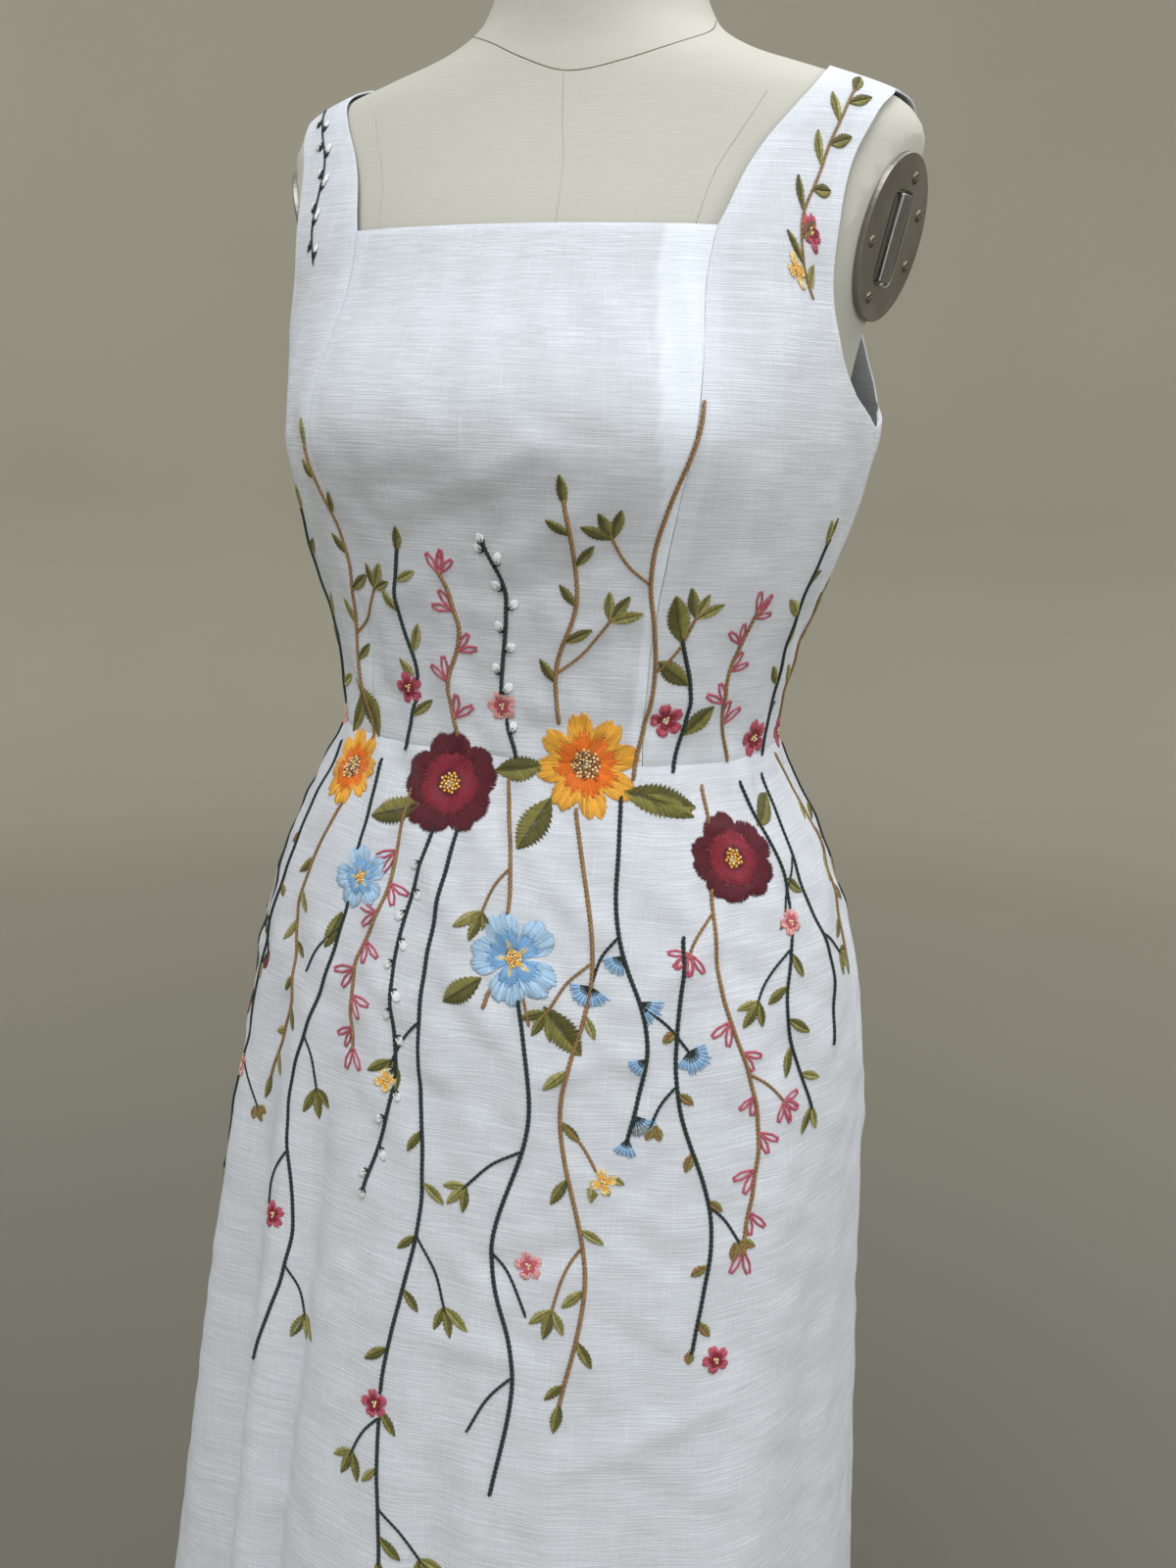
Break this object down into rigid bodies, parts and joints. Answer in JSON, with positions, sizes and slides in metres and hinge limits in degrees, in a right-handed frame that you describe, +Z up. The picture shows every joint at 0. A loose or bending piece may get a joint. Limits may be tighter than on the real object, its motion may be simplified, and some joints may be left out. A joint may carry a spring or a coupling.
{
  "type": "wedding dress on a dress form",
  "caption": "Sleeveless A-line wedding dress with square neck and wide straps, fitted with princess seams over a limbless dress form on a round stand.",
  "frame": {"origin": "on the floor, at the centre of the underside of the stand's round base", "axes": "+Z up, +X to the wearer's left, the front of the dress faces -Y"},
  "size_m": [0.5641, 0.5779, 1.54],
  "materials": {
    "linen": "slubbed woven linen, matt",
    "canvas": "fine canvas cover, matt",
    "plate_steel": "dull grey steel",
    "lever_steel": "brushed steel",
    "stand_metal": "satin black paint",
    "zip_metal": "white enamel"
  },
  "bodies": {
    "dress_and_form": {"bodice_front_center": "linen", "bodice_front_side_left": "linen", "bodice_front_side_right": "linen", "bodice_back_side_left": "linen", "bodice_back_side_right": "linen", "bodice_back_center_left": "linen", "bodice_back_center_right": "linen", "skirt_front": "linen", "skirt_back_left": "linen", "skirt_back_right": "linen", "form_torso": "canvas", "arm_plate_left": "plate_steel", "arm_plate_right": "plate_steel", "arm_lever_left": "lever_steel", "arm_lever_right": "lever_steel", "stand_flange": "stand_metal", "stand_pole": "stand_metal", "stand_base": "stand_metal", "zip_slider": "zip_metal"},
    "pull_tab": {"zip_pull": "zip_metal"}
  },
  "joints": [
    {"name": "pull_tab_hinge", "type": "hinge", "parent": "dress_and_form", "child": "pull_tab", "pos_m": [0, 0.11673, 1.35448], "axis": [1, 0, 0], "range_deg": [0, 150]}
  ]
}
